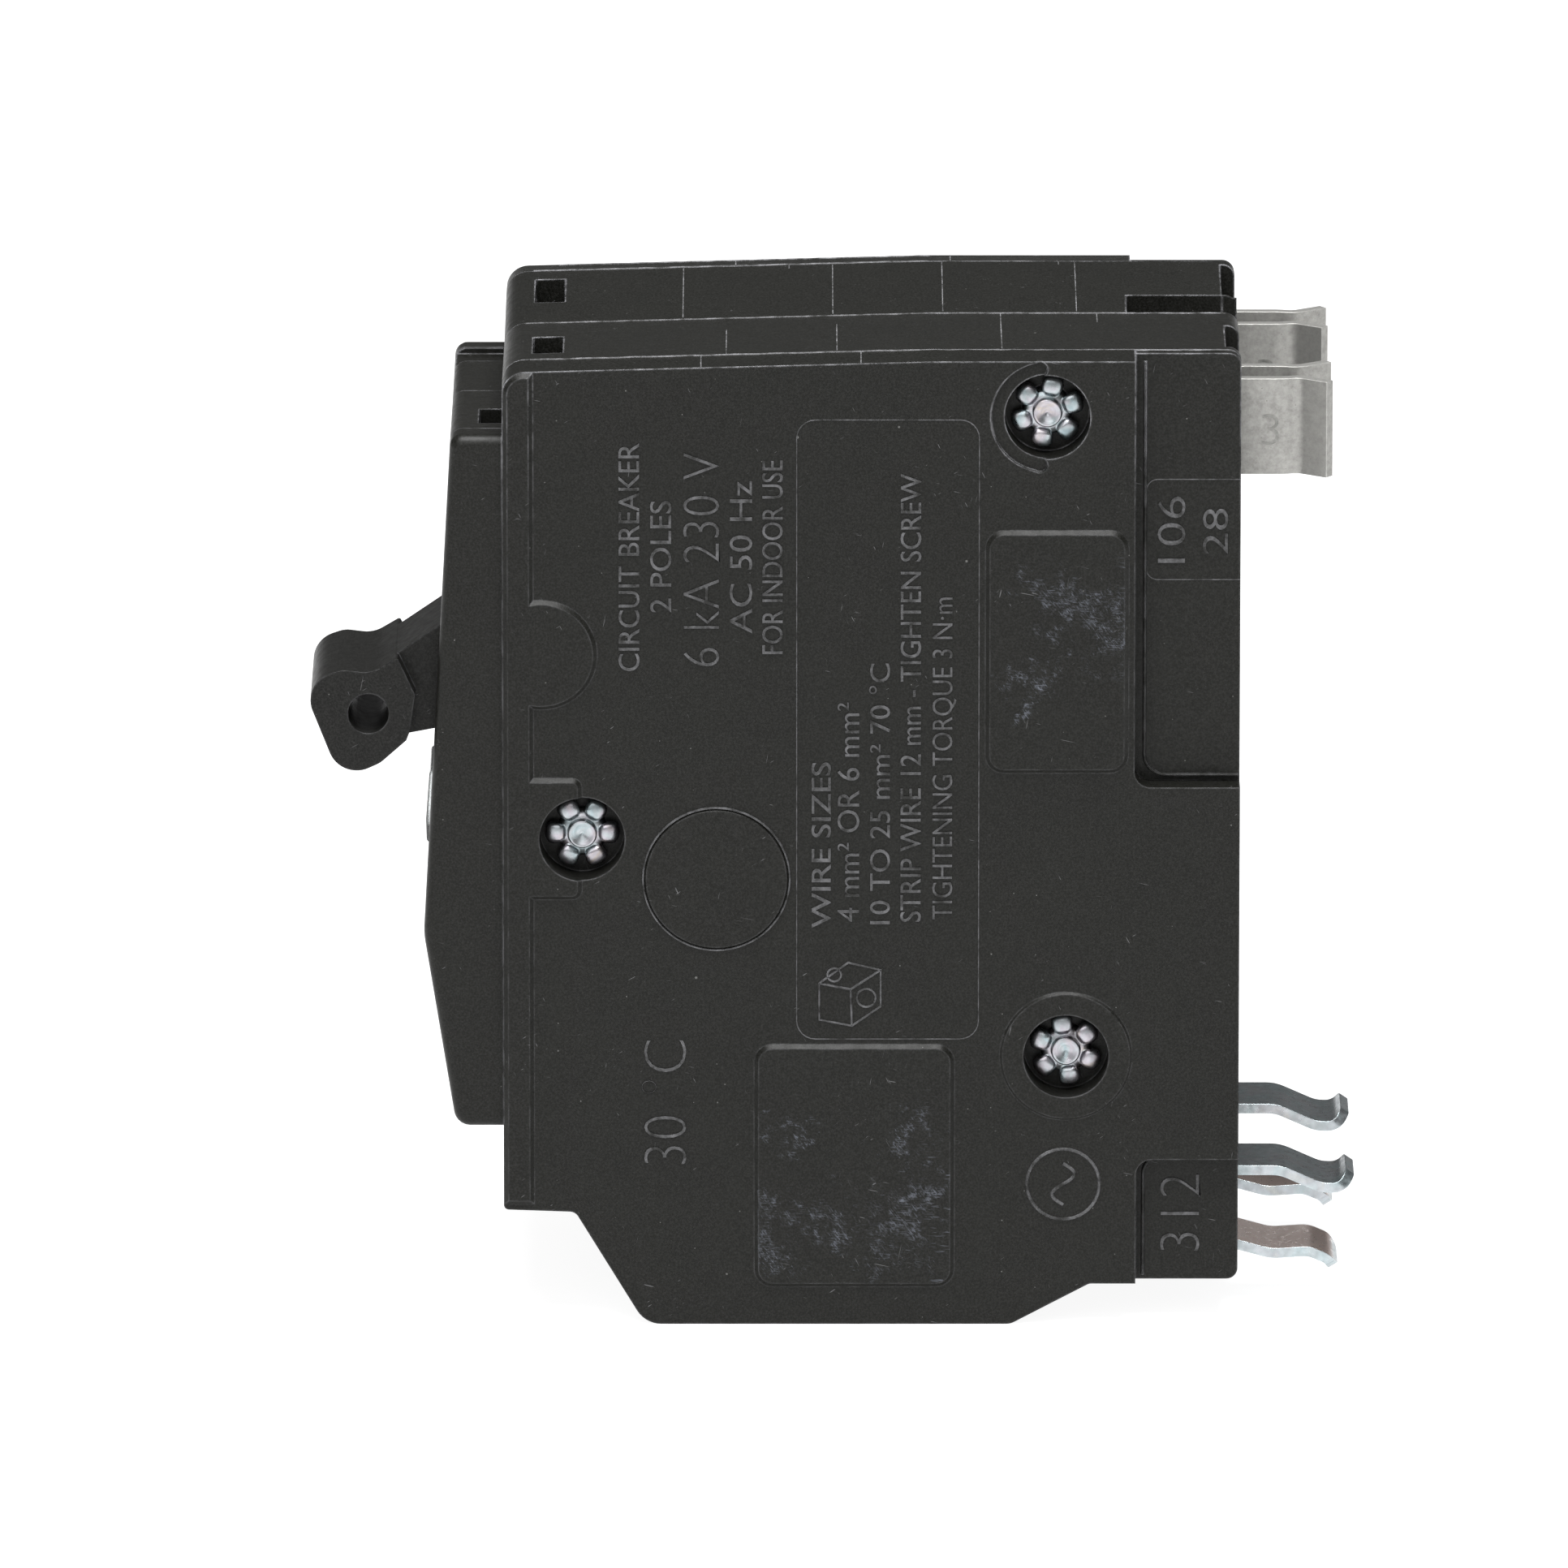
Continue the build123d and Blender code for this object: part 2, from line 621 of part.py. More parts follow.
def build_trip_lever(side):
    """Latched lever: it turns on a stub pin in the cover and drops when the armature lets go."""
    shape = rounded(
        (-11.6, 55.2, 2.0),
        (-7.8, 55.2, 1.0),
        (0.3, 51.7),
        (0.3, 50.2),
        (-2.0, 50.2, 0.6),
        (-6.0, 47.0, 0.8),
        (-9.0, 47.0, 0.8),
        (-12.0, 50.0, 1.0),
    )
    with BuildPart() as lever:
        slab(side, 14.7, 16.0, shape)
        slab(side, 12.4, 14.7, block(-1.4, 0.3, 50.2, 51.5))
        slab(side, 11.6, 14.7, disc((-4.0, 50.8), 0.6))
        slab(side, 14, 17, disc(TRIP_PIVOT, 1.5 + RUNNING), mode=Mode.SUBTRACT)
    finish(lever, f"{POLES[side]}_trip_lever")


def build_trip_lever_pin(side):
    with BuildPart() as pin:
        slab(side, 14.4, 17.95, disc(TRIP_PIVOT, 1.5))
        slab(side, 14.1, 14.5, disc(TRIP_PIVOT, 2.2))
    finish(pin, f"{POLES[side]}_trip_lever_pin")


def build_toggle_spring(side):
    """Extension spring between the trip lever and the contact arm."""
    low_z, high_z, coil_r, wire_r = 52.2, 58.2, 0.95, 0.22
    turns = 8
    path_start = (-4.0 + coil_r, side * 12.3, low_z)
    with BuildPart() as spring:
        with BuildLine(Plane((-4.0, side * 12.3, low_z))) as path:
            Helix(pitch=(high_z - low_z) / turns, height=high_z - low_z, radius=coil_r)
        with BuildSketch(Plane(path_start, x_dir=(1, 0, 0), z_dir=path.line % 0)):
            Circle(wire_r)
        sweep(path=path.line, is_frenet=True)
    finish(spring, f"{POLES[side]}_toggle_spring")


def build_arc_baffle(side):
    """Fibre plate that keeps the arc off the line jaw."""
    with BuildPart() as baffle:
        slab(side, 2.2, 14.9, block(20.5, 21.3, 52.0, 67.6))
    finish(baffle, f"{POLES[side]}_arc_baffle")


def build_rail_clip(side):
    """Two opposed spring fingers, joined inside the case, that snap over the mounting rail."""
    upper = ((27.3, 11.17), (36.0, 11.17), (39.3, 9.7), (40.9, 9.7), (41.6, 10.75))
    lower_root = ((27.3, 5.9), (29.8, 5.7), (32.5, 5.02))
    lower_tip = ((35.3, 4.25), (38.3, 4.45), (39.8, 3.8), (40.3, 3.0))
    upper_bends = (3.2, 3.0, 1.4)
    lower_bends = (3.0, 3.0, 3.5, 2.2, 1.2)
    bridge = block(26.8, 27.8, 5.9 - CLIP_SHEET / 2, 11.17 + CLIP_SHEET / 2)
    with BuildPart() as clip:
        slab(side, CLIP_NEAR, CLIP_FAR, strip(CLIP_SHEET, upper_bends, *upper))
        slab(side, CLIP_NEAR, CLIP_FAR, strip(CLIP_SHEET, lower_bends, *lower_root, *lower_tip))
        slab(side, CLIP_NEAR, CLIP_FAR, bridge)
        tip_corners = clip.edges().filter_by(lambda edge: abs(edge.length - CLIP_SHEET) < 0.01)
        fillet(tip_corners.sort_by(Axis.X)[-4:], CLIP_TIP_ROUND)
    finish(clip, f"{POLES[side]}_rail_clip")


def main():
    build_rivets()
    build_handle()
    build_left_hub()
    build_cross_shaft()
    build_window()
    build_flag()
    build_trip_bar()
    per_pole = (
        build_cover,
        build_base,
        build_line_jaw,
        build_stationary_contact,
        build_contact_arm,
        build_moving_contact,
        build_braid,
        build_bimetal,
        build_load_strap,
        build_calibration_screw,
        build_terminal_lug,
        build_lug_screw,
        build_magnet_yoke,
        build_armature,
        build_armature_spring,
        build_trip_lever,
        build_trip_lever_pin,
        build_toggle_spring,
        build_arc_baffle,
        build_rail_clip,
    )
    for side in POLES:
        for build in per_pole:
            build(side)


main()
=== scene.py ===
import json
from math import cos, pi, radians, sin

import bmesh
import bpy
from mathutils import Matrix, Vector


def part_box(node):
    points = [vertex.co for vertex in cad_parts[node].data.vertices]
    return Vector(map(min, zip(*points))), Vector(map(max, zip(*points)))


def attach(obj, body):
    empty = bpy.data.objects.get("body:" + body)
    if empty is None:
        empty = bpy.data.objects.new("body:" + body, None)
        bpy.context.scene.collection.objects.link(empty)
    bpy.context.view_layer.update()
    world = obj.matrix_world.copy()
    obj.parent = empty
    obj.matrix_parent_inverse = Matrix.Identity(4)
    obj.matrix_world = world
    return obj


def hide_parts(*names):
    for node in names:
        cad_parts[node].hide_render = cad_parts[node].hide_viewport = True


# Looks for the two-pole circuit breaker. Metres throughout; MM turns a size in millimetres into metres.
MM = 0.001

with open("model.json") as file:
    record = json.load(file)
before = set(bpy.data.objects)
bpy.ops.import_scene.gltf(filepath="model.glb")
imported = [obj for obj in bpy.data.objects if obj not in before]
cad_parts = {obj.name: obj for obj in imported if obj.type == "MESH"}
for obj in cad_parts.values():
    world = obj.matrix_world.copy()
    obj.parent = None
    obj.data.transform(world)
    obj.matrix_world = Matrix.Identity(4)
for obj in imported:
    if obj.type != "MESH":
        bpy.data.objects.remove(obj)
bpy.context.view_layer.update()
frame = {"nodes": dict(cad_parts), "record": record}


# ---------------------------------------------------------------- places read from the frame

SIDE_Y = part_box("right_cover")[0].y
FACE_Y = SIDE_Y + 0.35 * MM
PANEL_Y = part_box("right_base")[0].y
FOOT_Y = FACE_Y + 1.5 * MM
SEAM_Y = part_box("right_cover")[1].y
TOP_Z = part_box("right_base")[1].z
FRONT_TOP_Z = TOP_Z - 0.9 * MM
FRONT_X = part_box("right_base")[0].x + 6.35 * MM
REAR_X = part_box("right_base")[1].x
CREASE_X = 8.0 * MM
CENTRE_DROP, FACE_DROP = 0.65 * MM, 0.25 * MM


# ---------------------------------------------------------------- node helpers


class Shader:
    """A material's node tree with short ways to add the nodes used here."""

    def __init__(self, name):
        self.material = bpy.data.materials.new(name)
        self.material.use_nodes = True
        self.tree = self.material.node_tree
        self.surface = self.tree.nodes["Principled BSDF"]
        coords = self.add("ShaderNodeTexCoord")
        to_mm = self.add("ShaderNodeVectorMath", operation="SCALE")
        to_mm.inputs["Scale"].default_value = 1000.0
        self.link(coords.outputs["Object"], to_mm.inputs[0])
        self.place = to_mm.outputs[0]

    def add(self, kind, **settings):
        node = self.tree.nodes.new(kind)
        for key, value in settings.items():
            setattr(node, key, value)
        return node

    def link(self, source, target):
        self.tree.links.new(source, target)

    def put(self, value, socket):
        if isinstance(value, (int, float, tuple)):
            socket.default_value = value
        else:
            self.link(value, socket)

    def lengthways(self, angle, length, width):
        """The place turned about Y and measured in lengths and widths of a fine mark."""
        node = self.add("ShaderNodeMapping", vector_type="TEXTURE")
        self.link(self.place, node.inputs["Vector"])
        node.inputs["Rotation"].default_value = (0, radians(angle), 0)
        node.inputs["Scale"].default_value = (length, width, width)
        return node.outputs[0]

    def stretched(self, factors):
        node = self.add("ShaderNodeVectorMath", operation="MULTIPLY")
        self.link(self.place, node.inputs[0])
        node.inputs[1].default_value = factors
        return node.outputs[0]

    def noise(self, scale, detail=3.0, roughness=0.55, at=None, distortion=0.0):
        node = self.add("ShaderNodeTexNoise")
        self.link(at or self.place, node.inputs["Vector"])
        node.inputs["Scale"].default_value = scale
        node.inputs["Detail"].default_value = detail
        node.inputs["Roughness"].default_value = roughness
        node.inputs["Distortion"].default_value = distortion
        return node.outputs["Fac"]

    def specks(self, scale, radius, at=None):
        """White dots of a random size, one for some cells of a grid."""
        cells = self.add("ShaderNodeTexVoronoi")
        self.link(at or self.place, cells.inputs["Vector"])
        cells.inputs["Scale"].default_value = scale
        size = self.add("ShaderNodeSeparateColor")
        self.link(cells.outputs["Color"], size.inputs[0])
        chosen = self.math("SUBTRACT", size.outputs[0], 0.62)
        reach = self.math("MULTIPLY", chosen, radius)
        inside = self.math("SUBTRACT", reach, cells.outputs["Distance"])
        return self.span(inside, 0.0, 0.02)

    def math(self, operation, a, b=0.0, clamp=False):
        node = self.add("ShaderNodeMath", operation=operation, use_clamp=clamp)
        self.put(a, node.inputs[0])
        self.put(b, node.inputs[1])
        return node.outputs[0]

    def span(self, value, low, high, start=0.0, end=1.0):
        """Stretch the part of a value between low and high over start to end."""
        node = self.add("ShaderNodeMapRange")
        self.put(value, node.inputs["Value"])
        node.inputs["From Min"].default_value = low
        node.inputs["From Max"].default_value = high
        node.inputs["To Min"].default_value = start
        node.inputs["To Max"].default_value = end
        return node.outputs[0]

    def blend(self, amount, first, second):
        node = self.add("ShaderNodeMix", data_type="RGBA")
        self.put(amount, node.inputs["Factor"])
        self.put(first, node.inputs[6])
        self.put(second, node.inputs[7])
        return node.outputs[2]

    def softened(self, radius):
        """Normal of the surface with its edges rounded off."""
        node = self.add("ShaderNodeBevel", samples=6)
        node.inputs["Radius"].default_value = radius
        return node.outputs[0]

    def edges(self, radius, low, high):
        """Mask of the places where the surface turns sharply."""
        flat = self.add("ShaderNodeNewGeometry").outputs["Normal"]
        dot = self.add("ShaderNodeVectorMath", operation="DOT_PRODUCT")
        self.link(self.softened(radius), dot.inputs[0])
        self.link(flat, dot.inputs[1])
        return self.span(dot.outputs["Value"], high, low)

    def bump(self, height, distance, normal=None, strength=1.0):
        node = self.add("ShaderNodeBump")
        node.inputs["Strength"].default_value = strength
        node.inputs["Distance"].default_value = distance
        self.link(height, node.inputs["Height"])
        if normal:
            self.link(normal, node.inputs["Normal"])
        return node.outputs[0]

    def axis(self, index):
        split = self.add("ShaderNodeSeparateXYZ")
        self.link(self.place, split.inputs[0])
        return split.outputs[index]

    def near(self, x, z, radius, drift_x, drift_z):
        """Soft patch about a line through x and z in millimetres, its outline moved by the drifts."""
        dx = self.math("SUBTRACT", self.math("ADD", self.axis(0), drift_x), x)
        dz = self.math("SUBTRACT", self.math("ADD", self.axis(2), drift_z), z)
        squares = self.math("ADD", self.math("MULTIPLY", dx, dx), self.math("MULTIPLY", dz, dz))
        return self.span(self.math("SQRT", squares), radius, 0.0)

    def low_and_upward(self):
        """Mask of the upper side of the lowest clip, where the plating has a pink tint and a painted
        highlight on its upward-facing face.
        """
        normal = self.add("ShaderNodeSeparateXYZ")
        self.link(self.add("ShaderNodeNewGeometry").outputs["Normal"], normal.inputs[0])
        lowest = self.span(self.axis(2), 6.3, 5.6)
        facing_up = self.span(normal.outputs[2], 0.55, 0.8)
        return self.math("MULTIPLY", lowest, facing_up)

    def set(self, **values):
        for key, value in values.items():
            self.put(value, self.surface.inputs[key.replace("_", " ")])


# ---------------------------------------------------------------- materials


SCRATCH_WIDTH = 0.13

# Angle in degrees, length in millimetres and threshold of each set of hairlines.
SCRATCH_SETS = (
    (12, 1.8, 0.765),
    (63, 1.4, 0.77),
    (101, 2.6, 0.775),
    (148, 1.0, 0.76),
)


def scratches(sh, angle, length, threshold):
    """Sparse straight hairlines along one direction."""
    lines = sh.noise(1.0, detail=1.0, at=sh.lengthways(angle, length, SCRATCH_WIDTH))
    return sh.span(lines, threshold, threshold + 0.03)


def all_scratches(sh):
    """Hairlines in several directions, only where the case has been handled most."""
    marks = None
    for angle, length, threshold in SCRATCH_SETS:
        lines = scratches(sh, angle, length, threshold)
        marks = lines if marks is None else sh.math("MAXIMUM", marks, lines)
    handled = sh.span(sh.noise(0.16, detail=3.0), 0.50, 0.60)
    return sh.math("MULTIPLY", marks, handled)


# The x, z and radius in millimetres of each rubbed patch on the pads.
WORN_SPOTS = (
    (18.0, 60.0, 3.6),
    (20.2, 58.6, 3.6),
    (22.0, 57.0, 3.2),
    (24.4, 58.2, 2.8),
    (16.3, 53.0, 2.8),
    (-6.0, 8.6, 3.0),
    (-5.8, 5.8, 3.6),
    (-0.7, 8.4, 3.2),
    (5.6, 8.4, 4.8),
    (8.0, 10.5, 3.0),
    (-2.8, 15.6, 2.6),
    (6.4, 15.2, 2.8),
)


# How much of a rubbed patch is strokes, the rest being clouds.
STROKE_SHARE = 0.62


def margin_strokes(sh):
    """Short level strokes along the rear margin of each pad."""
    lines = scratches(sh, angle=2, length=1.3, threshold=0.66)
    upper_pad = sh.math("MULTIPLY", sh.span(sh.axis(0), 22.4, 24.6), sh.span(sh.axis(2), 50.0, 54.0))
    lower_pad = sh.math("MULTIPLY", sh.span(sh.axis(0), 6.8, 9.4), sh.span(sh.axis(2), 20.0, 17.0))
    patchy = sh.span(sh.noise(0.35, detail=3.0), 0.42, 0.60)
    margins = sh.math("MAXIMUM", upper_pad, lower_pad)
    return sh.math("MULTIPLY", sh.math("MULTIPLY", lines, patchy), margins)


def pad_wear(sh):
    """Rubbed patches on the raised pads, heaviest where neighbours slide past."""
    outward = sh.math("ABSOLUTE", sh.axis(1))
    pad_level = -SIDE_Y / MM
    on_pads = sh.span(outward, pad_level - 0.10, pad_level - 0.02)
    drift_x = sh.span(sh.noise(0.42, detail=4.0, roughness=0.7), 0.3, 0.7, -3.6, 3.6)
    drift_z = sh.span(sh.noise(0.36, detail=4.0, roughness=0.7), 0.7, 0.3, -3.2, 3.2)
    spots = None
    for x, z, radius in WORN_SPOTS:
        spot = sh.near(x, z, radius, drift_x, drift_z)
        spots = spot if spots is None else sh.math("MAXIMUM", spots, spot)
    along = sh.noise(1.0, detail=3.0, roughness=0.6, at=sh.lengthways(4, 0.9, 0.075), distortion=0.2)
    slanted = sh.noise(1.0, detail=3.0, roughness=0.6, at=sh.lengthways(52, 0.6, 0.085), distortion=0.3)
    clouds = sh.noise(1.3, detail=9.0, roughness=0.85)
    strokes = sh.math("MULTIPLY", sh.math("MAXIMUM", along, slanted), STROKE_SHARE)
    uneven = sh.math("ADD", strokes, sh.math("MULTIPLY", clouds, 1 - STROKE_SHARE))
    lifted = sh.math("ADD", uneven, sh.math("MULTIPLY", spots, 0.11))
    rubbed = sh.span(lifted, 0.60, 0.70)
    haze = sh.math("MULTIPLY", rubbed, sh.math("ADD", spots, 0.03))
    marks = sh.math("MAXIMUM", haze, margin_strokes(sh))
    return sh.math("MULTIPLY", marks, on_pads, clamp=True)


def edge_wear(sh, strength):
    """Pale lines where corners have rubbed, strongest along the top of the case."""
    edge = sh.edges(0.26 * MM, 0.82, 0.985)
    patchy = sh.span(sh.noise(0.7, detail=6.0, roughness=0.7), 0.40, 0.62, 0.12, 1.0)
    higher = sh.span(sh.axis(2), 66.0, 77.0, 0.27, 1.0)
    rubbed = sh.math("MULTIPLY", edge, patchy)
    return sh.math("MULTIPLY", rubbed, sh.math("MULTIPLY", higher, strength), clamp=True)


# Colours of what shows on the black moulding.
GRAIN_TONE = (0.030, 0.030, 0.028, 1)
DUST_TONE = (0.26, 0.26, 0.25, 1)
SCRATCH_TONE = (0.26, 0.26, 0.27, 1)
EDGE_TONE = (0.36, 0.36, 0.38, 1)
RUB_TONE = (0.135, 0.145, 0.172, 1)


def black_moulding(name, base, light, edge_strength, worn):
    """Black thermoset: fine grain, dust, hairlines and lighter worn edges."""
    sh = Shader(name)
    tone = sh.blend(sh.noise(0.25, detail=5.0), base, light)
    grain = sh.noise(6.0, detail=3.0, roughness=0.8)
    tone = sh.blend(sh.math("MULTIPLY", sh.span(grain, 0.40, 0.80), 0.8), tone, GRAIN_TONE)
    dust = sh.math("MAXIMUM", sh.specks(1.1, 0.20), sh.specks(0.37, 0.13))
    tone = sh.blend(sh.math("MULTIPLY", dust, 0.45), tone, DUST_TONE)
    tone = sh.blend(sh.math("MULTIPLY", all_scratches(sh), 0.45), tone, SCRATCH_TONE)
    tone = sh.blend(edge_wear(sh, edge_strength), tone, EDGE_TONE)
    rough = sh.span(sh.noise(1.3, detail=4.0), 0.3, 0.7, 0.34, 0.46)
    if worn:
        wear = pad_wear(sh)
        tone = sh.blend(sh.math("MULTIPLY", wear, 0.9), tone, RUB_TONE)
        rough = sh.math("ADD", rough, sh.math("MULTIPLY", wear, 0.25))
    waves = sh.math("MULTIPLY", sh.noise(0.45, detail=2.0), 1.5)
    height = sh.math("ADD", sh.noise(7.0, detail=3.0), waves)
    normal = sh.bump(height, 0.012 * MM, sh.softened(0.14 * MM), 0.6)
    sh.set(Base_Color=tone, Roughness=rough, Normal=normal, Specular_IOR_Level=0.215)
    return sh.material


def lettering_material(name="raised_lettering", clean=0.022, rubbed=0.13):
    """Black moulding rubbed paler by handling."""
    sh = Shader(name)
    worn = sh.span(sh.noise(0.75, detail=6.0, roughness=0.75), 0.38, 0.64)
    tone = sh.blend(worn, (clean, clean, clean * 0.95, 1), (rubbed, rubbed, rubbed * 1.04, 1))
    grain = sh.noise(8.0, detail=3.0)
    rough = sh.span(grain, 0.3, 0.7, 0.45, 0.65)
    sh.set(Base_Color=tone, Roughness=rough, Normal=sh.bump(grain, 0.01 * MM), Specular_IOR_Level=0.22)
    return sh.material


# Position and colour of each step of the plating's rainbow.
ZINC_TINTS = (
    (0.32, (0.66, 0.86, 0.92, 1)),
    (0.46, (0.90, 0.96, 1.00, 1)),
    (0.58, (0.96, 0.86, 0.96, 1)),
    (0.70, (1.00, 0.84, 0.74, 1)),
)
ZINC_BASE = (0.86, 0.97, 1.0, 1)
# Pink tint with a painted highlight, for the upward-facing top of the lowest clip.
ZINC_PINK_AND_HIGHLIGHT = (0.92, 0.70, 0.62, 1)
# Painted highlight colour for the edges of the zinc plate.
ZINC_EDGE_HIGHLIGHT = (0.70, 0.80, 0.82, 1)


def zinc_material(name, brightness, tint_strength):
    """Bright zinc plate: bluish, with faint rainbow patches, fine rolling lines and painted highlights on
    its edges.
    """
    sh = Shader(name)
    cloud = sh.noise(0.45, detail=4.0, distortion=0.8)
    ramp = sh.add("ShaderNodeValToRGB")
    band = ramp.color_ramp.elements
    band[0].position, band[0].color = ZINC_TINTS[0]
    band[1].position, band[1].color = ZINC_TINTS[-1]
    for position, colour in ZINC_TINTS[1:-1]:
        band.new(position).color = colour
    sh.link(cloud, ramp.inputs[0])
    tint = sh.blend(tint_strength, ZINC_BASE, ramp.outputs[0])
    lines = sh.noise(1.0, detail=4.0, at=sh.stretched((1.2, 9.0, 1.2)))
    shade = sh.span(lines, 0.35, 0.75, brightness, brightness * 0.68)
    scaled = sh.add("ShaderNodeVectorMath", operation="SCALE")
    sh.link(tint, scaled.inputs[0])
    sh.link(shade, scaled.inputs["Scale"])
    edge = sh.edges(0.15 * MM, 0.80, 0.98)
    # Pink tint and painted highlight: the upward-facing top of the lowest clip is made lighter and pinker.
    tone = sh.blend(sh.math("MULTIPLY", sh.low_and_upward(), 0.85), scaled.outputs[0], ZINC_PINK_AND_HIGHLIGHT)
    # Painted highlight: sharp edges of the zinc are made lighter and cyan.
    tone = sh.blend(sh.math("MULTIPLY", edge, 0.5), tone, ZINC_EDGE_HIGHLIGHT)
    rough = sh.span(sh.noise(2.2, detail=4.0), 0.3, 0.7, 0.24, 0.40)
    normal = sh.bump(lines, 0.006 * MM, sh.softened(0.10 * MM))
    sh.set(Base_Color=tone, Metallic=1.0, Roughness=rough, Normal=normal)
    return sh.material


def tin_material():
    """Dull tin plate over copper, mottled grey with small stains and painted highlights on its edges."""
    sh = Shader("dull_tin_plate")
    cloud = sh.noise(1.6, detail=9.0, roughness=0.78)
    tone = sh.blend(sh.span(cloud, 0.38, 0.66), (0.45, 0.445, 0.425, 1), (0.31, 0.305, 0.29, 1))
    stains = sh.math("MAXIMUM", sh.specks(2.6, 0.34), sh.specks(1.1, 0.20))
    tone = sh.blend(sh.math("MULTIPLY", stains, 0.75), tone, (0.13, 0.125, 0.115, 1))
    edge = sh.edges(0.15 * MM, 0.80, 0.98)
    # Painted highlight: sharp edges of the tin plate are made much lighter.
    tone = sh.blend(sh.math("MULTIPLY", edge, 0.6), tone, (0.80, 0.80, 0.77, 1))
    streaks = sh.noise(1.0, detail=5.0, at=sh.stretched((1.0, 1.0, 5.0)))
    rough = sh.span(cloud, 0.3, 0.7, 0.48, 0.64)
    height = sh.math("ADD", streaks, sh.noise(6.0, detail=2.0))
    normal = sh.bump(height, 0.01 * MM, sh.softened(0.12 * MM))
    sh.set(Base_Color=tone, Metallic=0.80, Roughness=rough, Normal=normal)
    return sh.material


def plain_metal(name, dark, light, roughness):
    """Drawn or rolled metal with faint lines."""
    sh = Shader(name)
    cloud = sh.noise(1.2, detail=5.0)
    lines = sh.noise(1.0, detail=3.0, at=sh.stretched((1.0, 1.0, 7.0)))
    rough = sh.span(cloud, 0.3, 0.7, roughness, roughness + 0.15)
    tone = sh.blend(cloud, dark, light)
    sh.set(Base_Color=tone, Metallic=1.0, Roughness=rough, Normal=sh.bump(lines, 0.008 * MM))
    return sh.material


def plain_moulding(name, dark, light, roughness):
    """Coloured moulding or board with a fine grain."""
    sh = Shader(name)
    cloud = sh.noise(1.5, detail=5.0)
    grain = sh.noise(8.0, detail=2.0)
    rough = sh.span(cloud, 0.3, 0.7, roughness, roughness + 0.12)
    sh.set(Base_Color=sh.blend(cloud, dark, light), Roughness=rough, Normal=sh.bump(grain, 0.01 * MM))
    return sh.material


def lens_material():
    """Clear plastic of the trip window, slightly hazy."""
    sh = Shader("clear_window")
    haze = sh.noise(2.5, detail=4.0)
    sh.set(Base_Color=(0.86, 0.90, 0.90, 1), Roughness=sh.span(haze, 0.3, 0.7, 0.05, 0.16), IOR=1.49)
    sh.set(Transmission_Weight=0.9, Normal=sh.bump(haze, 0.004 * MM, sh.softened(0.2 * MM)))
    return sh.material


def floor_material():
    """Pale seamless paper, lit from below like a light table so that shadows stay faint."""
    sh = Shader("pale_floor")
    cloud = sh.noise(0.004, detail=2.0)
    sh.set(Base_Color=sh.blend(cloud, (0.30, 0.30, 0.30, 1), (0.32, 0.32, 0.32, 1)), Roughness=0.9)
    sh.set(Emission_Color=(1, 1, 1, 1), Emission_Strength=0.92, Specular_IOR_Level=0.0)
    return sh.material


CASE = black_moulding(
    "black_case", (0.0030, 0.0031, 0.0022, 1), (0.0062, 0.0063, 0.0046, 1), edge_strength=1.0, worn=True)
HANDLE = black_moulding(
    "black_handle", (0.0020, 0.0020, 0.0016, 1), (0.0042, 0.0042, 0.0034, 1), edge_strength=0.6, worn=False)
LETTERING = lettering_material()
WORN_EDGE = lettering_material("worn_edge", 0.035, 0.26)
ZINC = zinc_material("bright_zinc", 0.60, 0.30)
RIVET_ZINC = zinc_material("rivet_zinc", 0.56, 0.75)
TIN = tin_material()


def dress_nodes():
    """Give every CAD node its finished material."""
    finishes = {
        "case_phenolic": CASE,
        "handle_plastic": HANDLE,
        "zinc_steel": ZINC,
        "tinned_copper": TIN,
        "clear_lens": lens_material(),
        "copper": plain_metal("copper_strip", (0.70, 0.33, 0.20, 1), (0.82, 0.45, 0.30, 1), 0.28),
        "silver_contact": plain_metal("silver_button", (0.70, 0.69, 0.66, 1), (0.86, 0.85, 0.82, 1), 0.25),
        "bimetal_strip": plain_metal("bimetal_strip", (0.45, 0.40, 0.34, 1), (0.60, 0.55, 0.48, 1), 0.35),
        "plain_steel": plain_metal("plain_steel", (0.38, 0.38, 0.39, 1), (0.52, 0.52, 0.53, 1), 0.35),
        "spring_steel": plain_metal("spring_wire", (0.30, 0.30, 0.32, 1), (0.45, 0.45, 0.47, 1), 0.25),
        "lug_aluminium": plain_metal("lug_aluminium", (0.62, 0.62, 0.64, 1), (0.76, 0.76, 0.78, 1), 0.30),
        "fibre_board": plain_moulding("fibre_board", (0.35, 0.15, 0.09, 1), (0.45, 0.22, 0.14, 1), 0.7),
        "flag_plastic": plain_moulding("flag_plastic", (0.70, 0.10, 0.05, 1), (0.80, 0.16, 0.08, 1), 0.4),
        "bar_plastic": plain_moulding("bar_plastic", (0.45, 0.43, 0.37, 1), (0.56, 0.54, 0.47, 1), 0.5),
    }
    for part in frame["record"]["subparts"]:
        node = frame["nodes"][part["node"]]
        node.data.materials.clear()
        node.data.materials.append(finishes[part["material_slot"]])


# ---------------------------------------------------------------- mesh helpers


def new_piece(name, mesh, material, smooth=True):
    mesh.name = name
    mesh.materials.clear()
    mesh.materials.append(material)
    for face in mesh.polygons:
        face.use_smooth = smooth
    piece = bpy.data.objects.new(name, mesh)
    bpy.context.collection.objects.link(piece)
    return piece


def from_bmesh(name, bm, material, smooth=True):
    bmesh.ops.remove_doubles(bm, verts=bm.verts, dist=1e-7)
    bmesh.ops.recalc_face_normals(bm, faces=bm.faces)
    mesh = bpy.data.meshes.new(name)
    bm.to_mesh(mesh)
    bm.free()
    return new_piece(name, mesh, material, smooth)


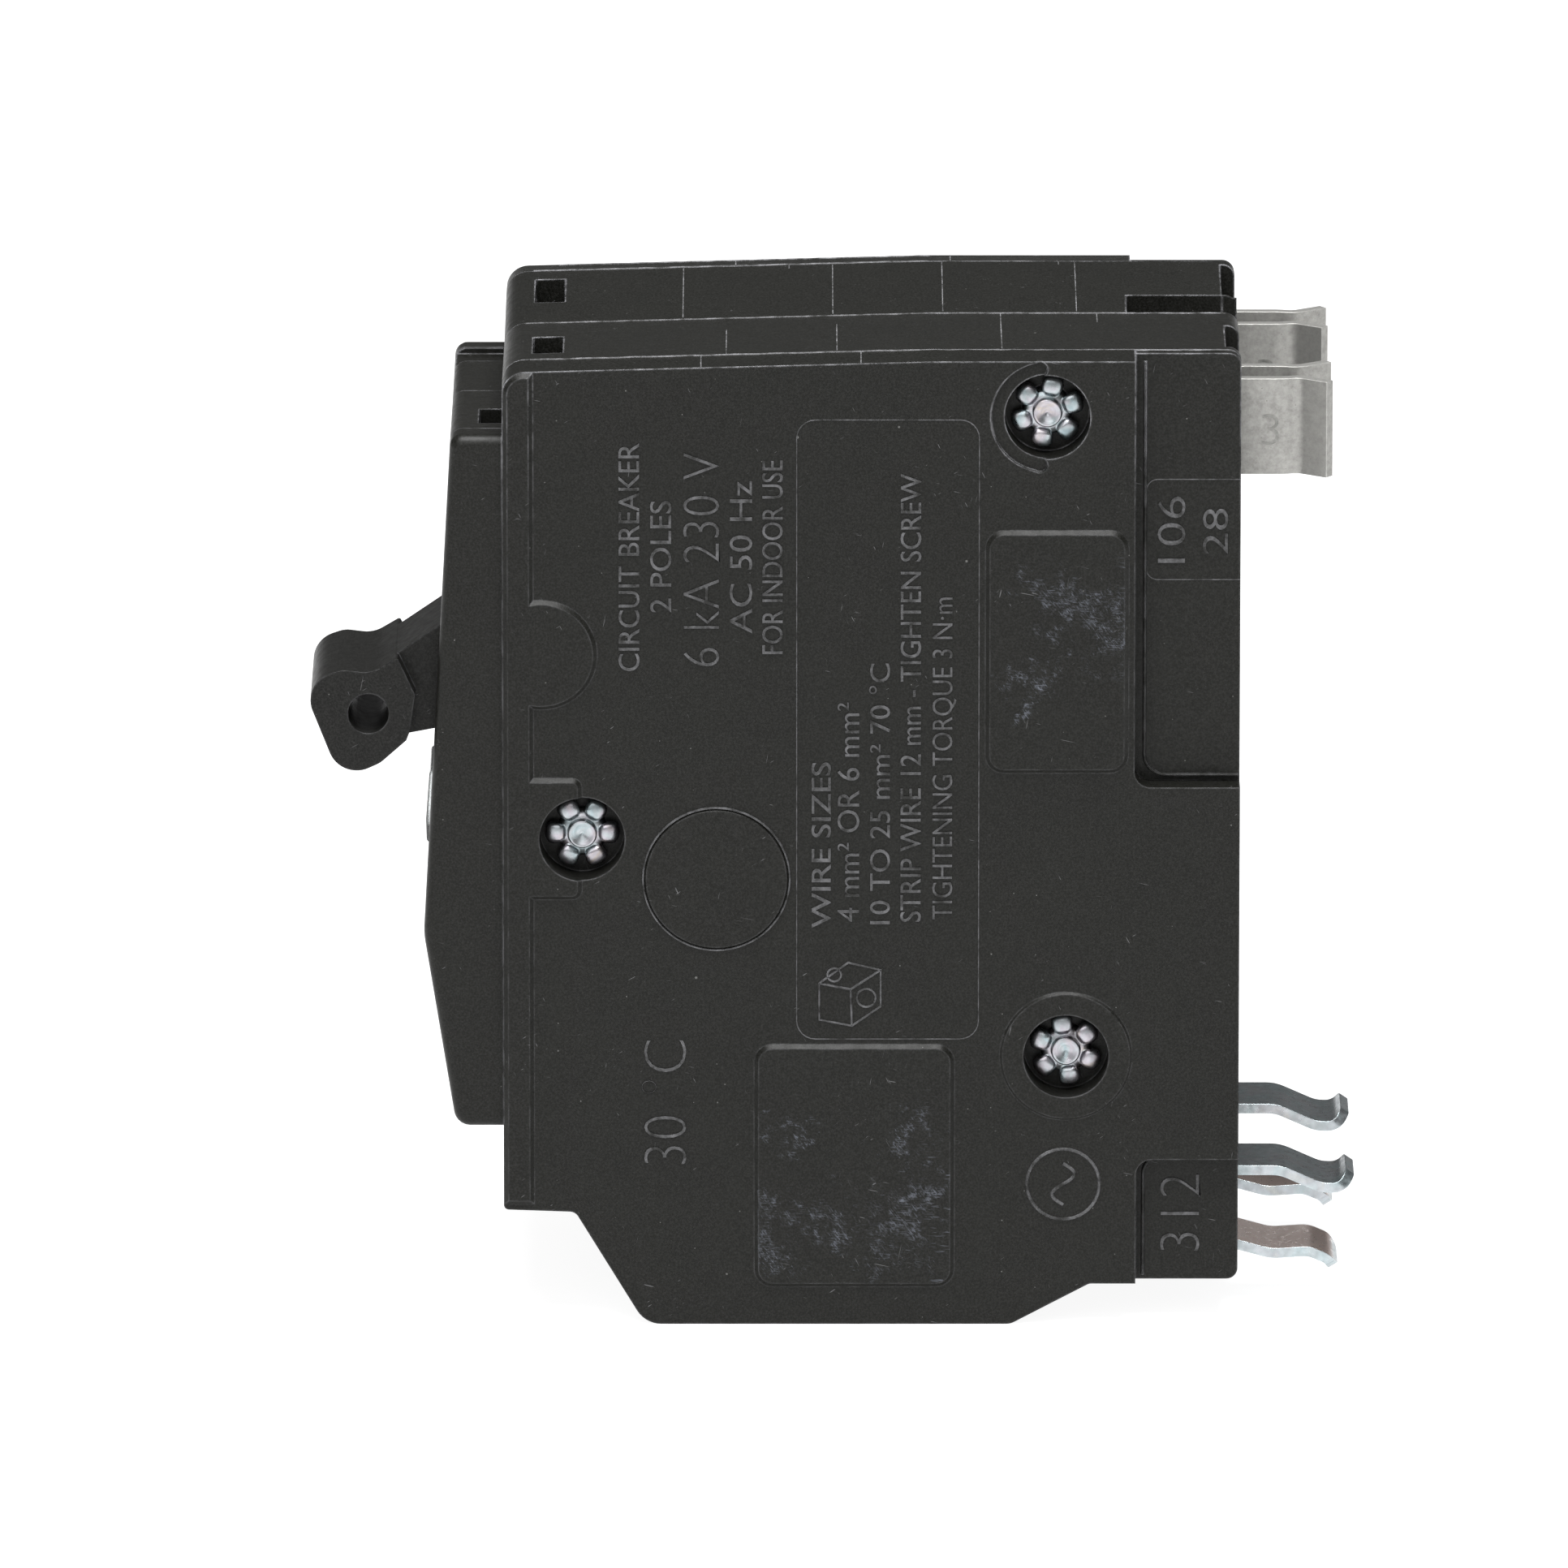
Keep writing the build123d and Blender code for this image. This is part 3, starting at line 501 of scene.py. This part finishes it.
def add_ridge(bm, points, width, height, to_world, closed=False):
    """A thin raised line along flat points, with sloped sides, sunk a little into its surface."""
    sink = 0.04 * MM
    count = len(points)
    rings = []
    for i, point in enumerate(points):
        before = points[i - 1] if closed or i else points[i]
        after = points[(i + 1) % count] if closed or i < count - 1 else points[i]
        along = (Vector(after) - Vector(before)).normalized()
        side = Vector((-along.y, along.x))
        ring = []
        for across, up in ((-1.0, -sink), (-0.45, height), (0.45, height), (1.0, -sink)):
            flat = Vector(point) + side * (across * width / 2)
            ring.append(bm.verts.new(to_world(flat.x, flat.y, up)))
        rings.append(ring)
    pairs = list(zip(rings, rings[1:])) + ([(rings[-1], rings[0])] if closed else [])
    for ring, following in pairs:
        for k in range(4):
            after = (k + 1) % 4
            bm.faces.new((ring[k], ring[after], following[after], following[k]))
    if not closed:
        bm.faces.new(rings[0])
        bm.faces.new(list(reversed(rings[-1])))


def arc_points(centre, radius, start, end, steps):
    """Flat points along an arc between two angles in degrees."""
    turns = [radians(start + (end - start) * i / steps) for i in range(steps + 1)]
    return [(centre[0] + radius * cos(turn), centre[1] + radius * sin(turn)) for turn in turns]


def ring_points(centre, radius, steps):
    """Flat points round a whole circle."""
    return arc_points(centre, radius, 0, 360, steps)[:-1]


def rounded_box(x0, x1, z0, z1, radius):
    """Points round a rounded rectangle."""
    corners = ((x1, z1, 0), (x0, z1, 90), (x0, z0, 180), (x1, z0, 270))
    points = []
    for x, z, start in corners:
        centre = (x - radius if x == x1 else x + radius, z - radius if z == z1 else z + radius)
        points += arc_points(centre, radius, start, start + 90, 6)
    return points


def on_side(surface_y):
    """Maps a flat x, z and a height to the right-hand side face at surface_y."""
    return lambda x, z, up: Vector((x, surface_y - up, z))


def in_mm(points):
    return [(x * MM, z * MM) for x, z in points]


# ---------------------------------------------------------------- lettering


STROKE = 0.21 * MM
TEXT_RAISED, TEXT_SUNK = 0.11, 0.05

# Stroke width and capital height of the built-in font, for a size of one.
FONT_STROKE, FONT_HEIGHT = 0.09, 0.70

# Space of the digit on a line jaw and its height above the sheet, in millimetres.
JAW_DIGIT_X, JAW_DIGIT_Z, JAW_DIGIT_RAISED = (34.2, 35.6), (70.8, 73.3), 0.03


def lettering_mesh(words, tall):
    """Flat words with strokes of the usual width once they are this tall, with a little thickness."""
    curve = bpy.data.curves.new("words", "FONT")
    curve.body = words
    curve.offset = (STROKE * FONT_HEIGHT / tall - FONT_STROKE) / 2
    curve.extrude = 0.05
    curve.resolution_u = 4
    maker = bpy.data.objects.new("words", curve)
    bpy.context.collection.objects.link(maker)
    bpy.context.view_layer.update()
    evaluated = maker.evaluated_get(bpy.context.evaluated_depsgraph_get())
    mesh = bpy.data.meshes.new_from_object(evaluated)
    bpy.data.objects.remove(maker)
    return mesh


def raised_text(name, words, x_span, z_span, surface_y, raised=TEXT_RAISED, upright=False, material=None):
    """Words fitted to a space in millimetres, which read towards +Z unless they are upright."""
    x0, x1 = (x * MM for x in x_span)
    z0, z1 = (z * MM for z in z_span)
    mesh = lettering_mesh(words, z1 - z0 if upright else x1 - x0)
    us = [v.co.x for v in mesh.vertices]
    vs = [v.co.y for v in mesh.vertices]
    for vertex in mesh.vertices:
        u = (vertex.co.x - min(us)) / (max(us) - min(us))
        v = (vertex.co.y - min(vs)) / (max(vs) - min(vs))
        y = surface_y - (raised if vertex.co.z > 0 else -TEXT_SUNK) * MM
        if upright:
            vertex.co = (x0 + u * (x1 - x0), y, z0 + v * (z1 - z0))
        else:
            vertex.co = (x1 - v * (x1 - x0), y, z0 + u * (z1 - z0))
    piece = new_piece(name, mesh, material or LETTERING, smooth=False)
    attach(piece, "case")


def side_lettering():
    """Generic words, units and digits moulded on the right-hand cover and panels."""
    lines = (
        ("text_breaker", "CIRCUIT BREAKER", (-16.97, -15.29), (53.9, 72.5)),
        ("text_poles", "2 POLES", (-14.45, -12.75), (58.7, 67.8)),
        ("text_rating", "6 kA 230 V", (-11.81, -8.91), (54.3, 71.7)),
        ("text_frequency", "AC 50 Hz", (-8.13, -6.33), (57.0, 69.4)),
        ("text_indoor", "FOR INDOOR USE", (-5.55, -3.90), (55.3, 71.1)),
        ("text_wire", "WIRE SIZES", (-1.62, -0.07), (32.8, 46.4)),
        ("text_wire_small", "4 mm² OR 6 mm²", (0.45, 2.20), (33.3, 51.3)),
        ("text_wire_large", "10 TO 25 mm² 70 °C", (2.95, 4.64), (33.1, 54.5)),
        ("text_strip", "STRIP WIRE 12 mm - TIGHTEN SCREW", (5.45, 7.10), (33.3, 70.0)),
        ("text_torque", "TIGHTENING TORQUE 3 N·m", (8.0, 9.9), (33.5, 59.9)),
        ("text_ambient", "30 °C", (-15.16, -11.62), (13.3, 23.5)),
    )
    for name, words, x_span, z_span in lines:
        raised_text(name, words, x_span, z_span, FACE_Y)
    raised_text("text_panel_upper", "106", (25.9, 28.1), (62.2, 67.6), PANEL_Y)
    raised_text("text_panel_lower", "28", (29.5, 31.5), (62.9, 66.6), PANEL_Y)
    raised_text("text_foot", "312", (26.3, 29.5), (5.7, 12.0), FOOT_Y)


def jaw_digits():
    """A stamped digit on the outer sheet of each line jaw."""
    sh = Shader("stamped_tin")
    worn = sh.span(sh.noise(2.0, detail=4.0), 0.35, 0.65)
    tone = sh.blend(worn, (0.20, 0.20, 0.19, 1), (0.36, 0.36, 0.34, 1))
    sh.set(Base_Color=tone, Metallic=0.95, Roughness=sh.span(worn, 0.0, 1.0, 0.40, 0.55))
    for side in ("right", "left"):
        name = "digit_" + side + "_jaw"
        sheet_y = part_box(side + "_line_jaw")[0].y + 1.25 * MM
        raised_text(name, "3", JAW_DIGIT_X, JAW_DIGIT_Z, sheet_y, JAW_DIGIT_RAISED, True, sh.material)


def generic_symbols():
    """An alternating-current sign in a circle and a small picture of a wire lug."""
    raised = 0.12 * MM
    line = 0.22 * MM
    bm = bmesh.new()
    place = on_side(FACE_Y)
    centre = (18.5, 11.6)
    add_ridge(bm, in_mm(ring_points(centre, 2.9, 40)), 0.30 * MM, raised, place, closed=True)
    wave = [(centre[0] - 0.9 * sin(2 * pi * i / 24), centre[1] - 1.7 + 3.4 * i / 24) for i in range(25)]
    add_ridge(bm, in_mm(wave), 0.32 * MM, raised, place)
    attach(from_bmesh("mark_alternating", bm, LETTERING, smooth=False), "case")

    bm = bmesh.new()
    box = ((-1.0, 25.2), (1.6, 24.7), (3.9, 26.3), (3.9, 29.3), (1.3, 29.9), (-1.0, 28.2))
    add_ridge(bm, in_mm(box), line, raised, place, closed=True)
    for end in ((-1.0, 28.2), (1.6, 24.7), (3.9, 29.3)):
        add_ridge(bm, in_mm(((1.5, 27.7), end)), line, raised, place)
    for hole, radius, steps in (((2.75, 27.0), 0.75, 20), ((0.2, 28.9), 0.55, 16)):
        add_ridge(bm, in_mm(ring_points(hole, radius, steps)), 0.2 * MM, raised, place, closed=True)
    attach(from_bmesh("mark_wire_lug", bm, LETTERING, smooth=False), "case")


def thin_frames():
    """Hairline frames and rims moulded on the right-hand side."""
    bm = bmesh.new()
    place = on_side(FACE_Y)
    frame_points = in_mm(rounded_box(-2.8, 11.7, 23.6, 74.4, 1.5))
    add_ridge(bm, frame_points, 0.12 * MM, 0.05 * MM, place, closed=True)
    rim_points = in_mm(ring_points((-9.2, 36.8), 5.85, 64))
    add_ridge(bm, rim_points, 0.18 * MM, 0.2 * MM, place, closed=True)
    rear = REAR_X / MM
    label = [(rear, 69.0)]
    label += arc_points((25.9, 68.1), 0.9, 90, 180, 6)
    label += arc_points((25.9, 61.7), 0.9, 180, 270, 6)
    label.append((rear, 60.8))
    add_ridge(bm, in_mm(label), 0.12 * MM, 0.04 * MM, on_side(PANEL_Y))
    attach(from_bmesh("moulded_hairlines", bm, LETTERING, smooth=False), "case")


def wall_steps():
    """Narrow stepped walls beside the two recessed panels."""
    rear = REAR_X / MM - 0.1
    width, height = 0.34 * MM, 0.22 * MM
    upper = [(24.9, 78.7)] + arc_points((26.6, 46.5), 1.7, 180, 270, 8) + [(rear, 44.8)]
    lower = [(24.9, 3.7)] + arc_points((26.4, 12.1), 1.5, 180, 90, 8) + [(rear, 13.6)]
    bm = bmesh.new()
    add_ridge(bm, in_mm(upper), width, height, on_side(PANEL_Y))
    add_ridge(bm, in_mm(lower), width, height, on_side(FOOT_Y))
    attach(from_bmesh("panel_wall_steps", bm, CASE, smooth=False), "case")


def top_height(x, y):
    """Height of the drafted top of the case above a point."""
    rise = (min(x, CREASE_X) - FRONT_X) / (CREASE_X - FRONT_X)
    level = FRONT_TOP_Z + (TOP_Z - FRONT_TOP_Z) * rise
    out, seam = abs(y), abs(SEAM_Y)
    if out <= seam:
        return level - CENTRE_DROP * (1 - out / seam)
    return level - FACE_DROP * (out - seam) / (abs(FACE_Y) - seam)


def on_top(x, y, up):
    """A point this far above the top of the case, kept just under its highest level."""
    return Vector((x, y, min(top_height(x, y) + up, TOP_Z - 0.002 * MM)))


def across_top(x):
    """Maps a flat y, offset and height to a line across the top of the case at x."""
    return lambda y, offset, up: on_top(x + offset, y, up)


def along_top(y):
    """Maps a flat x, offset and height to a line along the top of the case at y."""
    return lambda x, offset, up: on_top(x, y + offset, up)


def seam_flashes():
    """Rubbed moulding flash along the seams on the top of the case."""
    rear = REAR_X / MM - 1.0
    seam = abs(SEAM_Y) / MM
    runs = (
        (-24.0, rear, -seam - 0.12),
        (-24.5, rear, -0.22),
        (-24.0, 16.5, seam + 0.15),
        (-22.0, 8.0, abs(FACE_Y) / MM - 0.35),
    )
    steps = 40
    bm = bmesh.new()
    for start, end, y in runs:
        points = [(start + (end - start) * i / steps, 0.06 * sin(2.3 * i)) for i in range(steps + 1)]
        add_ridge(bm, in_mm(points), 0.20 * MM, 0.07 * MM, along_top(y * MM))
    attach(from_bmesh("seam_flashes", bm, WORN_EDGE, smooth=False), "case")


def mould_lines():
    """Fine joint lines that the mould's inserts leave across the top of the case."""
    seam, face = abs(SEAM_Y) / MM, abs(FACE_Y) / MM
    lines = (
        (-11.9, 0.4, seam - 0.3),
        (0.1, 0.4, seam - 0.3),
        (8.9, 0.4, seam - 0.3),
        (19.6, 0.4, seam - 0.3),
        (-8.4, 0.4 - seam, -5.0),
        (0.4, 0.4 - seam, -4.0),
        (13.5, 0.3 - seam, -0.5),
        (21.2, -4.0, -0.5),
        (-10.4, 0.1 - face, -seam),
        (2.3, 0.1 - face, -seam),
        (-7.7, seam, face - 0.1),
        (9.6, seam, face - 0.1),
        (-3.4, seam - 1.2, seam),
        (18.3, seam - 1.0, seam),
    )
    bm = bmesh.new()
    for x, y0, y1 in lines:
        add_ridge(bm, in_mm(((y0, 0), (y1, 0))), 0.13 * MM, 0.04 * MM, across_top(x * MM))
    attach(from_bmesh("mould_joint_lines", bm, WORN_EDGE, smooth=False), "case")


# ---------------------------------------------------------------- rivets


# Radius and height in millimetres along the outline of each turned part of a rivet.
RIVET_SEAT = 15.8 * MM
PIN = ((0.9, 0.0), (1.17, 0.05), (1.17, 1.30), (1.12, 1.43), (1.02, 1.49), (0.90, 1.47), (0.02, 1.02))
COLLAR = ((1.9, 0.0), (1.9, 0.55), (1.66, 0.90), (1.0, 0.93))
DOME = ((2.85, 0.02), (2.85, 0.35), (2.55, 0.83), (1.9, 1.15), (1.0, 1.27), (0.1, 1.29))
SHANK = ((1.9, -0.01), (1.9, -2 * RIVET_SEAT / MM + 0.01))
PETALS = 6


def add_lathe(bm, profile, centre, out, segments=40):
    """Turn a profile in millimetres about a line along Y through the centre."""
    rings = []
    for radius, height in profile:
        y = centre.y + out * (height * MM)
        ring = []
        for i in range(segments):
            turn = 2 * pi * i / segments
            x = centre.x + radius * MM * cos(turn)
            z = centre.z + radius * MM * sin(turn)
            ring.append(bm.verts.new((x, y, z)))
        rings.append(ring)
    for ring, following in zip(rings, rings[1:]):
        for i in range(segments):
            after = (i + 1) % segments
            bm.faces.new((ring[i], ring[after], following[after], following[i]))
    bm.faces.new(rings[0])
    bm.faces.new(list(reversed(rings[-1])))


def petal_point(s, t, turn, lower):
    """A point of a rolled-out petal in millimetres: s runs outwards and t across its sheet."""
    crest, crest_rise, thickness = 0.30, 1.22, 0.30
    reach = 1.30 + 1.65 * s
    if s < crest:
        rise = crest_rise - 0.30 * ((crest - s) / crest) ** 2
    else:
        rise = crest_rise - 0.20 * ((s - crest) / (1 - crest)) ** 2
    tip = max(0.0, (s - 0.78) / 0.22)
    half_width = (0.60 + 0.26 * sin(2.7 * s)) * max(0.50, (1 - tip * tip) ** 0.5)
    crown = -0.10 * t * t - 0.16 * t ** 8 - 0.22 * tip * tip
    depth = thickness if lower else 0.0
    across = t * half_width
    x = reach * cos(turn) - across * sin(turn)
    z = reach * sin(turn) + across * cos(turn)
    return Vector((x, rise + crown - depth, z))


def add_petal(bm, centre, out, turn):
    """One petal of a clinch: an upper and an under sheet joined round their rim."""
    steps, across = 12, 8
    sheets = []
    for lower in (False, True):
        sheet = []
        for i in range(steps + 1):
            row = []
            for j in range(across + 1):
                point = petal_point(i / steps, 2 * j / across - 1, turn, lower) * MM
                row.append(bm.verts.new((centre.x + point.x, centre.y + out * point.y, centre.z + point.z)))
            sheet.append(row)
        sheets.append(sheet)
        for i in range(steps):
            for j in range(across):
                bm.faces.new((sheet[i][j], sheet[i][j + 1], sheet[i + 1][j + 1], sheet[i + 1][j]))
    top, under = sheets
    rim = [(i, 0) for i in range(steps)] + [(steps, j) for j in range(across)]
    rim += [(i, across) for i in range(steps, 0, -1)] + [(0, j) for j in range(across, 0, -1)]
    for (i, j), (k, m) in zip(rim, rim[1:] + rim[:1]):
        bm.faces.new((top[i][j], top[k][m], under[k][m], under[i][j]))


def rivet_centres():
    """The middle of each rivet, from the connected groups of the CAD node's points."""
    node = frame["nodes"]["case_rivets"]
    bm = bmesh.new()
    bm.from_mesh(node.data)
    bm.transform(node.matrix_world)
    bmesh.ops.remove_doubles(bm, verts=bm.verts, dist=1e-6)
    waiting = set(bm.verts)
    centres = []
    while waiting:
        group, unvisited = [], [waiting.pop()]
        while unvisited:
            vertex = unvisited.pop()
            group.append(vertex.co.copy())
            for edge in vertex.link_edges:
                other = edge.other_vert(vertex)
                if other in waiting:
                    waiting.remove(other)
                    unvisited.append(other)
        xs = [point.x for point in group]
        zs = [point.z for point in group]
        centres.append(((min(xs) + max(xs)) / 2, (min(zs) + max(zs)) / 2))
    bm.free()
    return sorted(centres)


def build_rivets():
    """Petalled clinches on the right, domed heads on the left, and the shanks between."""
    bm = bmesh.new()
    for index, (x, z) in enumerate(rivet_centres()):
        right = Vector((x, -RIVET_SEAT, z))
        left = Vector((x, RIVET_SEAT, z))
        for k in range(PETALS):
            add_petal(bm, right, -1, radians(360 / PETALS * k + 19 * index))
        add_lathe(bm, PIN, right, -1)
        add_lathe(bm, COLLAR, right, -1)
        add_lathe(bm, DOME, left, 1)
        add_lathe(bm, SHANK, left, 1)
    piece = from_bmesh("clinched_rivets", bm, RIVET_ZINC)
    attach(piece, "case")
    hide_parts("case_rivets")


# ---------------------------------------------------------------- stage


STAGE_AIM = (0, 0, 0.04)
FLOOR_HALF = 6.0
FLOOR_LEVEL = -0.02 * MM
WORLD_STRENGTH = 0.14


def soft_panel(name, place, size, power):
    """A square-cornered area light turned to the object."""
    light = bpy.data.lights.new(name, "AREA")
    light.shape = "RECTANGLE"
    light.size, light.size_y = size
    light.energy = power
    lamp = bpy.data.objects.new(name, light)
    lamp.location = place
    lamp.rotation_euler = (Vector(STAGE_AIM) - Vector(place)).to_track_quat("-Z", "Y").to_euler()
    bpy.context.collection.objects.link(lamp)


def build_stage():
    """Pale floor, dim surroundings and soft lights from above and in front."""
    mesh = bpy.data.meshes.new("floor")
    signs = ((-1, -1), (1, -1), (1, 1), (-1, 1))
    corners = [(i * FLOOR_HALF, j * FLOOR_HALF, FLOOR_LEVEL) for i, j in signs]
    mesh.from_pydata(corners, [], [(0, 1, 2, 3)])
    floor = new_piece("floor", mesh, floor_material(), smooth=False)
    world = bpy.data.worlds.new("dim_surround")
    world.use_nodes = True
    background = world.node_tree.nodes["Background"]
    background.inputs["Color"].default_value = (1, 1, 1, 1)
    background.inputs["Strength"].default_value = WORLD_STRENGTH
    bpy.context.scene.world = world
    soft_panel("overhead", (0.0, -0.26, 1.10), (0.85, 0.85), 24.0)
    soft_panel("front_fill", (-0.45, -1.6, 1.05), (1.6, 1.1), 12.0)
    bpy.context.scene.view_settings.view_transform = "Standard"


def build_camera():
    """Long lens, level with the side face and a little above it."""
    elevation = radians(14.3)
    distance = 1.938
    aim = Vector((-3.81 * MM, SIDE_Y, 44.7 * MM))
    camera = bpy.data.cameras.new("camera")
    camera.lens = 559.0
    camera.sensor_width = 36.0
    camera.clip_end = 50.0
    eye = bpy.data.objects.new("camera", camera)
    eye.location = aim + Vector((0, -cos(elevation), sin(elevation))) * distance
    eye.rotation_euler = (aim - eye.location).to_track_quat("-Z", "Y").to_euler()
    bpy.context.collection.objects.link(eye)
    bpy.context.scene.camera = eye


build_camera()
build_stage()
dress_nodes()
build_rivets()
thin_frames()
wall_steps()
mould_lines()
seam_flashes()
generic_symbols()
side_lettering()
jaw_digits()
